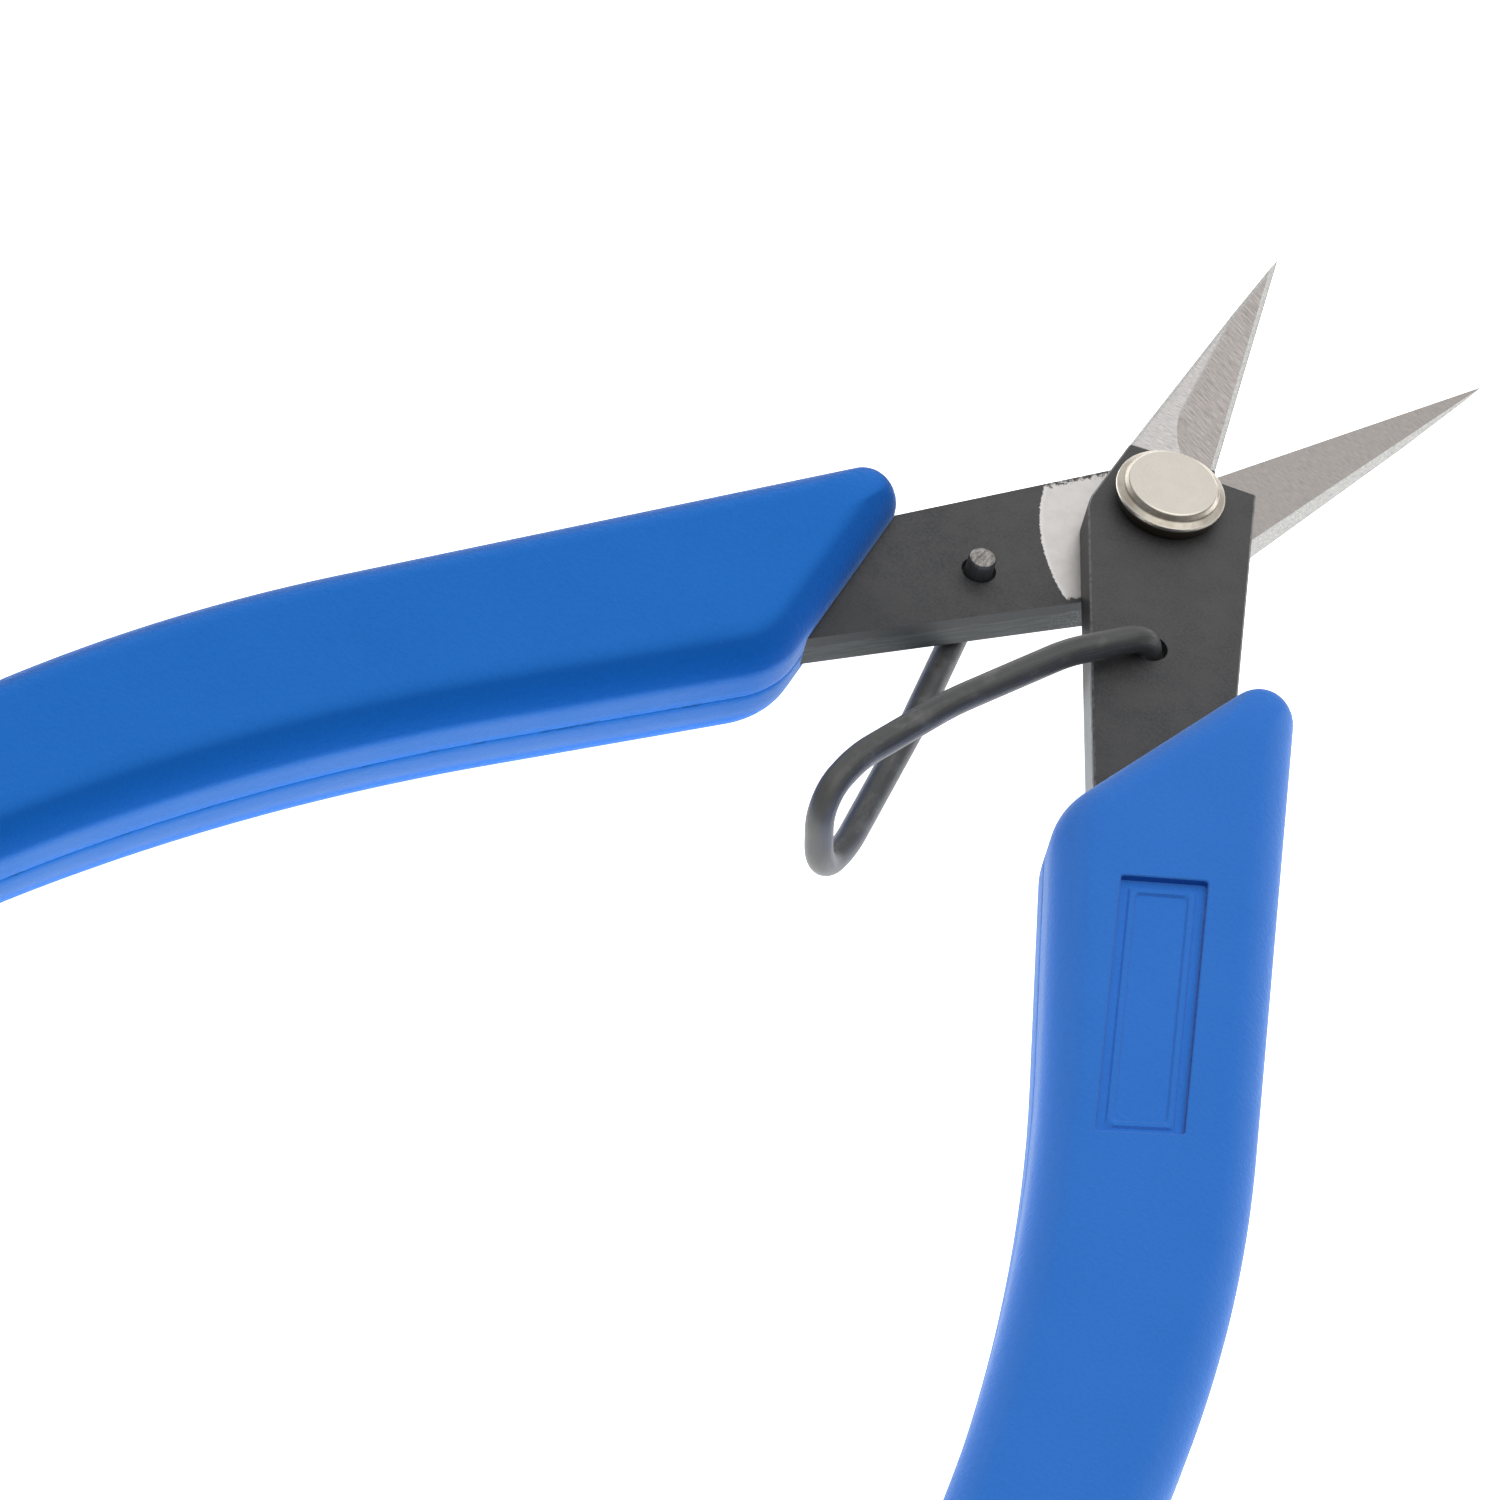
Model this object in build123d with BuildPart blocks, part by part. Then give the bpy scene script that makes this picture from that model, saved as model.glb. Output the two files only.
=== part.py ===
from build123d import *
import os
from math import asin, cos, radians, sin

# Spring-return precision scissors: two pivoted steel halves with long pointed blades, a turned
# pivot rivet with a washer, a bent wire return spring and two moulded grips.
# Millimetres. The pivot runs along Z, the blades point to +Y and the tool stands open, as the
# spring holds it. The origin is the centre of the pivot rivet's flat head. The rear half is the
# front half turned half a turn about Y, in the plane where the two halves slide on each other.

# Driving dimensions
plate_thickness = 2.4
slide_gap = 0.03
head_height = 1.85
shank_diameter = 4.0
running_clearance = 0.03
washer_diameter = 7.0
washer_thickness = 0.5
tail_diameter = 5.6
tail_top_diameter = 4.2
tail_height = 0.8

wire_diameter = 1.75
spring_hole_diameter = 2.2
spring_hole = (6.2, -11.35)
leg_height = 1.2
pin_stand_out = 1.25
pin_offset = (-0.06, -0.11)

grip_thickness = 8.0
grip_edge_radius = 2.7
nose_radius = 2.2
mouth_radius = 6.5
end_radius = 4.6
end_reach = 6.0
end_flare = 0.8
core_wall = 3.3
core_start_y = -37.0
outer_bend_y = -42.0
inner_bend_y = -44.0
panel_corners = ((16.3, -31.1), (20.4, -27.7), (30.2, -45.4), (26.2, -48.9))
panel_depth = 0.5

# Turned side of the rivet head, each point as (radius, height above the plate)
head_side = ((2.75, 1.85), (2.93, 1.7), (3.07, 1.42), (3.46, 1.2), (3.5, 1.1), (3.22, 0.15), (3.1, 0.0))

# Straight edges in plan, each as (turn of its normal from +X in degrees, distance from the pivot)
cutting_edge = (21.55, 2.39)
blade_spine = (8.0, -4.22)
tang_outer = (29.1, 5.6)
tang_inner = (34.5, -5.05)
shoulder = (108.5, 3.54)
grip_outer = (29.0, 9.16)
grip_inner = (32.0, -6.6)
grip_mouth = (-9.6, 14.35)
heel_radius = 3.4
edge_break = 0.12

# Arcs of a grip's sides, each as (first heading, last heading, radius), headings from -Y
outer_turns = ((29.0, 13.0, 108.0), (13.0, 6.0, 420.0))
inner_turns = ((32.0, 11.0, 135.0), (11.0, 4.0, 300.0))

# The grind, measured along the cutting edge from the pivot and across it towards the spine
grind_start = 4.2
grind_step = 0.25
tip_thickness = 0.57
blade_reach = 27.9
bevel_width = 3.25
bevel_widest = 9.0
bevel_start_radius = 10.0
edge_land = 0.03
edge_facet = 0.32
bevel_rise = 0.525
bevel_hollow = 0.08
overcut = 2.0

# Heights
front_face_z = -head_height
mating_z = front_face_z - plate_thickness
front_mid_z = mating_z + plate_thickness / 2
rear_face_z = mating_z - plate_thickness


def meet(first, second):
    """Corner where two straight edges cross."""
    a, b = radians(first[0]), radians(second[0])
    turn = sin(b - a)
    x = (first[1] * sin(b) - second[1] * sin(a)) / turn
    y = (second[1] * cos(a) - first[1] * cos(b)) / turn
    return (x, y)


def along(edge, y):
    """Point at the given y on a straight edge."""
    a = radians(edge[0])
    return ((edge[1] - y * sin(a)) / cos(a), y)


def bend(start, first, last, radius):
    """End of an arc that turns between two headings, in degrees from -Y, about the -X side."""
    a, b = radians(first), radians(last)
    return (start[0] + radius * (cos(b) - cos(a)), start[1] - radius * (sin(a) - sin(b)))


def side_route(edge, start_y, turns, shift):
    """Start, and the middle and end of each arc, of a grip's side moved along its normal."""
    a = radians(edge[0])
    start = along(edge, start_y)
    route = [(start[0] + shift * cos(a), start[1] + shift * sin(a))]
    for first, last, radius in turns:
        start = route[-1]
        route.append(bend(start, first, (first + last) / 2, radius + shift))
        route.append(bend(start, first, last, radius + shift))
    return route


# Plan of a front grip: straight behind the mouth, then two arcs on each side to a rounded end
outer_side = side_route(grip_outer, outer_bend_y, outer_turns, 0)
inner_side = side_route(grip_inner, inner_bend_y, inner_turns, 0)
nose = meet(grip_outer, grip_mouth)
throat = meet(grip_inner, grip_mouth)
end_y = inner_side[-1][1] - end_reach
outer_corner = (outer_side[-1][0] + end_flare, end_y + end_flare)
inner_corner = (inner_side[-1][0] + end_flare, end_y)
rounded_corners = (
    (nose, nose_radius), (throat, mouth_radius), (outer_corner, end_radius), (inner_corner, end_radius))

with BuildSketch(Plane.XY.offset(front_mid_z)) as grip_plan:
    with BuildLine():
        Polyline(throat, nose, outer_side[0])
        ThreePointArc(*outer_side[0:3])
        ThreePointArc(*outer_side[2:5])
        Polyline(outer_side[4], outer_corner, inner_corner, inner_side[4])
        ThreePointArc(*inner_side[2:5])
        ThreePointArc(*inner_side[0:3])
        Line(inner_side[0], throat)
    make_face()
    for corner, corner_radius in rounded_corners:
        fillet(grip_plan.vertices().sort_by_distance((*corner, 0))[0], corner_radius)

# Steel half, without its pivot hole: tang, blade blank and the core hidden in the grip
with BuildSketch(Plane.XY.offset(mating_z + slide_gap / 2)) as blade_plan:
    with BuildLine():
        heel = meet(blade_spine, tang_inner)
        FilletPolyline(
            meet(blade_spine, cutting_edge), heel, along(tang_inner, core_start_y - 1),
            radius=heel_radius)
        Polyline(
            along(tang_inner, core_start_y - 1), along(tang_outer, core_start_y - 1),
            meet(tang_outer, shoulder), meet(shoulder, cutting_edge),
            meet(blade_spine, cutting_edge))
    make_face()

core_outer = side_route(grip_outer, outer_bend_y, outer_turns, -core_wall)
core_inner = side_route(grip_inner, inner_bend_y, inner_turns, core_wall)
core_outer_top = along((grip_outer[0], grip_outer[1] - core_wall), core_start_y)
core_inner_top = along((grip_inner[0], grip_inner[1] + core_wall), core_start_y)

with BuildSketch(Plane.XY.offset(mating_z + slide_gap / 2)) as core_plan:
    with BuildLine():
        Polyline(core_inner[0], core_inner_top, core_outer_top, core_outer[0])
        ThreePointArc(*core_outer[0:3])
        ThreePointArc(*core_outer[2:5])
        Line(core_outer[4], core_inner[4])
        ThreePointArc(*core_inner[2:5])
        ThreePointArc(*core_inner[0:3])
    make_face()

edge_turn = radians(cutting_edge[0])
edge_along = (-sin(edge_turn), cos(edge_turn), 0)
edge_across = (-cos(edge_turn), -sin(edge_turn), 0)
edge_foot = (cutting_edge[1] * cos(edge_turn), cutting_edge[1] * sin(edge_turn), mating_z)
across_edge = Plane(edge_foot, x_dir=edge_across, z_dir=edge_along)
beside_edge = Plane(edge_foot, x_dir=edge_along, z_dir=(cos(edge_turn), sin(edge_turn), 0))
over_edge = Plane(edge_foot, x_dir=edge_along, z_dir=(0, 0, 1))
past_tip = blade_reach + overcut
clear_z = 2 * plate_thickness
start_turn = asin((bevel_widest - grind_start) / bevel_start_radius)
grind_width = bevel_width + overcut


def bevel_start(turn):
    """Point on the arc where the bevel begins, along the edge and across it."""
    back = bevel_start_radius * sin(turn)
    narrower = bevel_start_radius * (1 - cos(turn))
    return (bevel_widest - back, bevel_width - narrower)


with BuildPart() as bevel_grind:
    facet_top = edge_land + edge_facet
    bevel_top = facet_top + bevel_rise * (grind_width - edge_facet)
    bevel_middle = ((edge_facet + grind_width) / 2, (facet_top + bevel_top) / 2 - bevel_hollow)
    with BuildSketch(across_edge):
        with BuildLine():
            Polyline((grind_width, bevel_top), (grind_width, clear_z), (-overcut, clear_z),
                     (-overcut, edge_land), (0, edge_land), (edge_facet, facet_top))
            ThreePointArc((edge_facet, facet_top), bevel_middle, (grind_width, bevel_top))
        make_face()
    extrude(amount=past_tip)
    with BuildSketch(over_edge):
        with BuildLine():
            Polyline((grind_start, -overcut), (past_tip, -overcut), (past_tip, bevel_width),
                     bevel_start(0))
            ThreePointArc(bevel_start(0), bevel_start(start_turn / 2), bevel_start(start_turn))
            Line(bevel_start(start_turn), (grind_start, -overcut))
        make_face()
    extrude(amount=clear_z, both=True, mode=Mode.INTERSECT)

with BuildPart() as taper_grind:
    with BuildSketch(beside_edge):
        with BuildLine():
            Polyline((grind_start, clear_z), (grind_start, plate_thickness - grind_step),
                     (blade_reach, tip_thickness), (past_tip, tip_thickness), (past_tip, clear_z),
                     close=True)
        make_face()
    extrude(amount=blade_reach, both=True)

with BuildPart() as steel_half:
    add(blade_plan.sketch)
    extrude(amount=plate_thickness - slide_gap / 2)
    chamfer(steel_half.faces().sort_by(Axis.Z)[-1].edges(), edge_break)
    add(core_plan.sketch)
    extrude(amount=plate_thickness - slide_gap / 2)
    add(taper_grind.part, mode=Mode.SUBTRACT)
    add(bevel_grind.part, mode=Mode.SUBTRACT)
    with Locations((*spring_hole, mating_z)):
        Cylinder(spring_hole_diameter / 2, 2 * clear_z, mode=Mode.SUBTRACT)

half_turn = Location((0, 0, 2 * mating_z), (0, 180, 0))

with BuildPart() as front_blade:
    add(steel_half.part)
    with Locations((0, 0, mating_z)):
        Cylinder(shank_diameter / 2, 2 * clear_z, mode=Mode.SUBTRACT)

with BuildPart() as rear_blade:
    with Locations(half_turn):
        add(steel_half.part)
    with Locations((0, 0, mating_z)):
        Cylinder(shank_diameter / 2 + running_clearance, 2 * clear_z, mode=Mode.SUBTRACT)

# Pivot rivet: turned head in front, shank, and a tail peened over the washer behind
washer_front_z = rear_face_z - slide_gap
washer_back_z = washer_front_z - washer_thickness
with BuildPart() as pivot_rivet:
    with BuildSketch(Plane.XZ):
        with BuildLine():
            Polyline(
                (0, 0), *[(radius, front_face_z + height) for radius, height in head_side],
                (shank_diameter / 2, front_face_z),
                (shank_diameter / 2, washer_back_z), (tail_diameter / 2, washer_back_z),
                (tail_diameter / 2, washer_back_z - tail_height / 3),
                (tail_top_diameter / 2, washer_back_z - tail_height),
                (0, washer_back_z - tail_height), close=True)
        make_face()
    revolve(axis=Axis.Z)

with BuildPart() as pivot_washer:
    with BuildSketch(Plane.XY.offset(washer_back_z)):
        Circle(washer_diameter / 2)
        Circle(shank_diameter / 2, mode=Mode.SUBTRACT)
    extrude(amount=washer_thickness)

# Return spring: one wire, hooked through both halves, with its U bend behind the pivot.
# The points are its centre line, and each corner between them is rounded by an arc.
front_leg_z = front_face_z + leg_height
rear_leg_z = rear_face_z - leg_height
pin_x = spring_hole[0] + pin_offset[0]
pin_y = spring_hole[1] + pin_offset[1]
spring_corners = (
    ((pin_x, pin_y, front_leg_z), 1.7),
    ((3.2, -16.7, front_leg_z + 0.1), 12.0),
    ((0.35, -25.4, front_leg_z - 0.05), 25.0),
    ((-1.3, -32.9, mating_z + 3.2), 10.0),
    ((-1.2, -37.0, mating_z + 2.75), 2.6),
    ((0.15, -37.25, mating_z - 2.75), 2.6),
    ((-0.25, -33.4, rear_leg_z), 10.0),
    ((-3.05, -22.0, rear_leg_z), 30.0),
    ((-pin_x, pin_y, rear_leg_z), 1.7),
)
pin_starts = (pin_x, pin_y, mating_z - pin_stand_out)
pin_ends = (-pin_x, pin_y, mating_z + pin_stand_out)

with BuildPart() as return_spring:
    with BuildLine() as spring_route:
        FilletPolyline(
            pin_starts, *[corner for corner, radius in spring_corners], pin_ends,
            radius=[radius for corner, radius in spring_corners])
    with BuildSketch(Plane(pin_starts, z_dir=(0, 0, 1))):
        Circle(wire_diameter / 2)
    sweep(path=spring_route.wire(), transition=Transition.ROUND)

# Moulded grips
with BuildPart() as grip_body:
    add(grip_plan.sketch)
    extrude(amount=grip_thickness / 2, both=True)
    fillet(grip_body.faces().sort_by(Axis.Z)[-1].edges(), grip_edge_radius)
    fillet(grip_body.faces().sort_by(Axis.Z)[0].edges(), grip_edge_radius)
    add(steel_half.part, mode=Mode.SUBTRACT)

with BuildPart() as front_grip:
    add(grip_body.part)
    with BuildSketch(Plane.XY.offset(front_mid_z + grip_thickness / 2)):
        with BuildLine():
            Polyline(*panel_corners, close=True)
        make_face()
    extrude(amount=-panel_depth, mode=Mode.SUBTRACT)

with BuildPart() as rear_grip:
    with Locations(half_turn):
        add(grip_body.part)

front_blade.part.label = "front_blade"
rear_blade.part.label = "rear_blade"
pivot_rivet.part.label = "pivot_rivet"
pivot_washer.part.label = "pivot_washer"
return_spring.part.label = "return_spring"
front_grip.part.label = "front_grip"
rear_grip.part.label = "rear_grip"

os.makedirs("parts", exist_ok=True)
export_step(front_blade.part, "parts/front_blade.step")
export_step(rear_blade.part, "parts/rear_blade.step")
export_step(pivot_rivet.part, "parts/pivot_rivet.step")
export_step(pivot_washer.part, "parts/pivot_washer.step")
export_step(return_spring.part, "parts/return_spring.step")
export_step(front_grip.part, "parts/front_grip.step")
export_step(rear_grip.part, "parts/rear_grip.step")
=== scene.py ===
from math import cos, pi, radians, sin, tan

import bpy
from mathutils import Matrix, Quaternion, Vector
from mathutils.geometry import tessellate_polygon


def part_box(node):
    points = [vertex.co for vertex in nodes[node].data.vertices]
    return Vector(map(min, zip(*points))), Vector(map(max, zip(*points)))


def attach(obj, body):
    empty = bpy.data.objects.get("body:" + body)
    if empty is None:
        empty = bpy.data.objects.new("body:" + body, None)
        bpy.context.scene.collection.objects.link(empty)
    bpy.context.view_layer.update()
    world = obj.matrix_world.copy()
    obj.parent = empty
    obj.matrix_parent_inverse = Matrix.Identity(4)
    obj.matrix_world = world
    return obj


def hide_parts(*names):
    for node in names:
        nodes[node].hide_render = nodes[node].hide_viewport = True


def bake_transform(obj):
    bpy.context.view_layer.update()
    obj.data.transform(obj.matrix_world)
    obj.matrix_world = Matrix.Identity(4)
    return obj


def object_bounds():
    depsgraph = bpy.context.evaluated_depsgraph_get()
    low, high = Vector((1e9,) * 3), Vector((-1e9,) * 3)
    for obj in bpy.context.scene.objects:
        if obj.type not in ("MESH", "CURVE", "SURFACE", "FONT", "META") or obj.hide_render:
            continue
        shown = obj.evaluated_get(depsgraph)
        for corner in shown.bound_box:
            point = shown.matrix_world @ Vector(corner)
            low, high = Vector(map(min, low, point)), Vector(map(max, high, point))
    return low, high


# Spring-return precision scissors. Meshes are worked out in millimetres in the row frame and are
# written in metres. A "half" is written once, for the front of the tool, and turned for the rear.

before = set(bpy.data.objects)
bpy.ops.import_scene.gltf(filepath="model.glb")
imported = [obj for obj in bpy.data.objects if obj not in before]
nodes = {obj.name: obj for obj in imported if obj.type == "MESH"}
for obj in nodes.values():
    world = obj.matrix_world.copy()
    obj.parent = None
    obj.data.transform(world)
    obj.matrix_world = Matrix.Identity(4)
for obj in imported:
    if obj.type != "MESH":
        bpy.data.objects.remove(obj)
cad_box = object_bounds()

MM = 0.001
QUARTER = pi / 2

front_low, front_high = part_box("front_blade")
rear_low, rear_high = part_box("rear_blade")
grip_low, grip_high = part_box("front_grip")

mating_z = (front_low.z + rear_high.z) / 2 / MM
front_face_z = front_high.z / MM
rear_face_z = rear_low.z / MM
plate_thickness = front_face_z - mating_z
grip_mid_z = (grip_low.z + grip_high.z) / 2 / MM
grip_half_thickness = (grip_high.z - grip_low.z) / 2 / MM
floor_z = cad_box[0].z

# Plan of a front half, the same driving values as the CAD
cutting_edge = (21.55, 2.39)
blade_spine = (8.0, -4.22)
tang_outer = (29.1, 5.6)
tang_inner = (34.5, -5.05)
grip_outer = (29.0, 9.16)
grip_inner = (32.0, -6.6)
grip_mouth = (-9.6, 14.35)
outer_bend_y = -42.0
inner_bend_y = -44.0
outer_turns = ((29.0, 13.0, 108.0), (13.0, 6.0, 420.0))
inner_turns = ((32.0, 11.0, 135.0), (11.0, 4.0, 300.0))
end_reach = 5.98
end_flare = 0.8
end_radius = 4.6
nose_radius = 2.2
sharpest_nose = 1.3
nose_reach = 14.0
mouth_radius = 6.5
edge_radius = 2.7
edge_steps = 14
face_margin = 0.15
seam_depth = 0.035
seam_half_width = 0.06
outline_spacing = 0.4

# Gap between a grip's mouth and the plate: its width, how it fades, and the rings that carry it
mouth_gap = 0.3
mouth_gap_fade = 0.6
mouth_gap_reach = (0.3, 0.8)
mouth_gap_heights = (0.6, 1.22)

panel_corner_radius = 0.2
panel_corners = ((16.3, -31.1), (20.4, -27.7), (30.2, -45.4), (26.2, -48.9))
panel_depth = 0.49
panel_depth_far = 0.45
# Across the sunk panel's edge, each as (outset from its outline, share of its depth)
panel_section = (
    (0.1, 0.0), (0.03, 0.08), (0.0, 0.2), (-0.03, 0.85), (-0.12, 1.0),
    (-0.55, 1.0), (-0.68, 0.72), (-0.98, 0.72), (-1.12, 1.0))

shank_radius = 2.0
inner_ring = 0.9
rivet_around = 128
rivet_corner_steps = 6

wire_radius = 0.875
wire_around = 32
wire_spacing = 0.3
wire_corner_steps = 20
spring_hole = (6.2, -11.35)
leg_height = 1.2
pin_stand_out = 1.25
pin_offset = (-0.06, -0.11)
sheared_edge = 0.08
sheared_edge_share = 0.35
bend_y = -34.0
plug_gap = 0.05
plug_rings = 3

# Grind
grind_start = 4.2
grind_step = 0.25
tip_thickness = 0.57
blade_reach = 27.9
edge_facet = 0.32


# ---------------------------------------------------------------- plan geometry

def meet(first, second):
    """Corner where two straight edges cross, each given as (turn of its normal, distance)."""
    a, b = radians(first[0]), radians(second[0])
    turn = sin(b - a)
    x = (first[1] * sin(b) - second[1] * sin(a)) / turn
    y = (second[1] * cos(a) - first[1] * cos(b)) / turn
    return Vector((x, y))


def along(edge, y):
    """Point at the given y on a straight edge."""
    a = radians(edge[0])
    return Vector(((edge[1] - y * sin(a)) / cos(a), y))


def bend(start, first, last, radius):
    """Point where an arc ends that turns between two headings, in degrees from -Y."""
    a, b = radians(first), radians(last)
    return Vector((start.x + radius * (cos(b) - cos(a)), start.y - radius * (sin(a) - sin(b))))


def side_points(edge, start_y, turns, steps=24):
    """Points down a grip's side: the end of its straight run, then its arcs."""
    points = [along(edge, start_y)]
    for first, last, radius in turns:
        start = points[-1]
        for i in range(1, steps + 1):
            points.append(bend(start, first, first + (last - first) * i / steps, radius))
    return points


def rounded_corner(before, corner, after, radius, steps=16):
    """Points of the arc that rounds a corner, in plan or in space."""
    back = (before - corner).normalized()
    ahead = (after - corner).normalized()
    half = back.angle(ahead) / 2
    middle = corner + (back + ahead).normalized() * (radius / sin(half))
    first = corner + back * (radius / tan(half)) - middle
    last = corner + ahead * (radius / tan(half)) - middle
    swing = first.angle(last)
    points = []
    for i in range(steps + 1):
        t = i / steps
        points.append(middle + (first * sin((1 - t) * swing) + last * sin(t * swing)) / sin(swing))
    return points


def resampled(points, spacing, closed=True):
    """The same line with evenly spaced points."""
    run = points + points[:1] if closed else points
    lengths = [0.0]
    for a, b in zip(run, run[1:]):
        lengths.append(lengths[-1] + (b - a).length)
    count = max(2, round(lengths[-1] / spacing))
    even, k = [], 0
    for i in range(count if closed else count + 1):
        target = lengths[-1] * i / count
        while k < len(run) - 2 and lengths[k + 1] < target:
            k += 1
        share = (target - lengths[k]) / max(lengths[k + 1] - lengths[k], 1e-9)
        even.append(run[k].lerp(run[k + 1], min(share, 1.0)))
    return even


def smoothstep(x, low, high):
    t = min(max((x - low) / (high - low), 0.0), 1.0)
    return t * t * (3 - 2 * t)


# ---------------------------------------------------------------- mesh helpers

def new_piece(name, points, faces, body, replaced=(), smooth_below=40):
    """A mesh piece in the row frame, from points in millimetres."""
    mesh = bpy.data.meshes.new(name)
    mesh.from_pydata([tuple(p * MM for p in point) for point in points], [], faces)
    mesh.validate()
    mesh.shade_smooth()
    mesh.set_sharp_from_angle(angle=radians(smooth_below))
    piece = bpy.data.objects.new(name, mesh)
    bpy.context.scene.collection.objects.link(piece)
    if body:
        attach(piece, body)
    if replaced:
        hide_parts(*replaced)
    return piece


def bridge(faces, first, second, count):
    """Quads between two rings of the same number of points, given by their first indices."""
    for i in range(count):
        j = (i + 1) % count
        faces.append((first + i, first + j, second + j, second + i))


def cap(points, faces, loops, upward):
    """Triangles over a flat outline with its holes. A loop is (first index, number of points)."""
    outlines = [[Vector(points[first + i]) for i in range(count)] for first, count in loops]
    index = [first + i for first, count in loops for i in range(count)]
    for triangle in tessellate_polygon(outlines):
        a, b, c = (index[k] for k in triangle)
        pa, pb, pc = (Vector(points[k]) for k in (a, b, c))
        normal = (pb - pa).cross(pc - pa)
        if normal.length < 1e-9:
            continue
        faces.append((a, b, c) if (normal.z > 0) == upward else (a, c, b))


def half_turned(points):
    """Rear half from the front half: half a turn about Y in the mating plane."""
    return [(-x, y, 2 * mating_z - z) for x, y, z in points]


# ---------------------------------------------------------------- grips

def grip_outline():
    """Evenly spaced points round a front grip, and how far each is in the mouth, from 0 to 1."""
    outer = side_points(grip_outer, outer_bend_y, outer_turns)
    inner = side_points(grip_inner, inner_bend_y, inner_turns)
    nose = meet(grip_outer, grip_mouth)
    throat = meet(grip_inner, grip_mouth)
    end_y = inner[-1].y - end_reach
    outer_corner = Vector((outer[-1].x + end_flare, end_y + end_flare))
    inner_corner = Vector((inner[-1].x + end_flare, end_y))
    rough = rounded_corner(inner[0], throat, nose, mouth_radius)
    rough += rounded_corner(throat, nose, outer[0], nose_radius)
    rough += outer
    rough += rounded_corner(outer[-1], outer_corner, inner_corner, end_radius)
    rough += rounded_corner(outer_corner, inner_corner, inner[-1], end_radius)
    rough += inner[::-1]
    points = resampled(rough, outline_spacing)
    mouth_line = (nose - throat).normalized()
    plate_from = (meet(tang_inner, grip_mouth) - throat).dot(mouth_line)
    plate_to = (meet(tang_outer, grip_mouth) - throat).dot(mouth_line)
    in_mouth = []
    mouth_normal = Vector((cos(radians(grip_mouth[0])), sin(radians(grip_mouth[0]))))
    for p in points:
        depth = abs(mouth_normal.dot(p) - grip_mouth[1])
        side = (p - throat).dot(mouth_line)
        inside = smoothstep(side, plate_from, plate_from + mouth_gap_fade)
        inside *= 1 - smoothstep(side, plate_to - mouth_gap_fade, plate_to)
        in_mouth.append(inside * (1 - smoothstep(depth, *mouth_gap_reach)))
    return points, in_mouth


def swept_area(points):
    """Twice the area of a closed outline, above zero if it runs anticlockwise."""
    return sum(a.x * b.y - b.x * a.y for a, b in zip(points, points[1:] + points[:1]))


def outward_normals(points):
    """Unit normals of a closed outline that runs clockwise or anticlockwise."""
    sign = 1 if swept_area(points) > 0 else -1
    normals = []
    for i in range(len(points)):
        step = points[(i + 1) % len(points)] - points[i - 1]
        normals.append(Vector((step.y, -step.x)).normalized() * sign)
    return normals


def inset_outline(outline, normals, insets):
    """The outline moved in, with its nose kept round where a plain offset would fold over."""
    nose = meet(grip_outer, grip_mouth)
    back = (along(grip_outer, outer_bend_y) - nose).normalized()
    down = (meet(grip_inner, grip_mouth) - nose).normalized()
    half = back.angle(down) / 2
    middle = (back + down).normalized()
    start = nose_radius / tan(half)
    moved = []
    for p, n, inset in zip(outline, normals, insets):
        radius = max(nose_radius - inset, sharpest_nose)
        reach = (radius + inset) / tan(half)
        side = None
        for line in (back, down):
            run = (p - nose).dot(line)
            if abs((p - nose).cross(line)) < 0.001 and start <= run < nose_reach:
                side = line
                stretch = (run - start) / (nose_reach - start)
        if side is not None:
            run = reach + (nose_reach - reach) * stretch
            moved.append(nose + side * run - n * inset)
        elif (p - nose).length < start:
            centre = nose + middle * ((radius + inset) / sin(half))
            outward = (p - nose - middle * (nose_radius / sin(half))).normalized()
            moved.append(centre + outward * radius)
        else:
            moved.append(p - n * inset)
    return moved


def grip_rings(in_mouth):
    """Rings from the seam to the face: lists of (inset, height above the middle plane)."""
    top = grip_half_thickness
    rings = [[(seam_depth + mouth_gap * m, 0.0) for m in in_mouth]]
    for height in (seam_half_width, *mouth_gap_heights):
        rings.append([(mouth_gap * m, height) for m in in_mouth])
    for k in range(edge_steps + 1):
        turn = QUARTER * k / edge_steps
        inset = edge_radius * (1 - cos(turn))
        rings.append([(inset, top - edge_radius + edge_radius * sin(turn))] * len(in_mouth))
    rings.append([(edge_radius + face_margin, top)] * len(in_mouth))
    return rings


def panel_outline(outset):
    """The panel's outline moved out, with the same number of points for any outset."""
    corners = [Vector(c) for c in panel_corners]
    moved = []
    for i, corner in enumerate(corners):
        back = (corners[i - 1] - corner).normalized()
        ahead = (corners[(i + 1) % len(corners)] - corner).normalized()
        moved.append(corner - (back + ahead) * (outset / sin(back.angle(ahead))))
    outline = []
    for i, corner in enumerate(moved):
        following = moved[(i + 1) % len(moved)]
        arc = rounded_corner(moved[i - 1], corner, following, panel_corner_radius, 5)
        length = (corners[(i + 1) % len(corners)] - corners[i]).length
        straight = round(length / outline_spacing)
        outline += arc
        following_arc = rounded_corner(
            corner, following, moved[(i + 2) % len(moved)], panel_corner_radius, 5)
        outline += [arc[-1].lerp(following_arc[0], k / straight) for k in range(1, straight)]
    return outline


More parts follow.
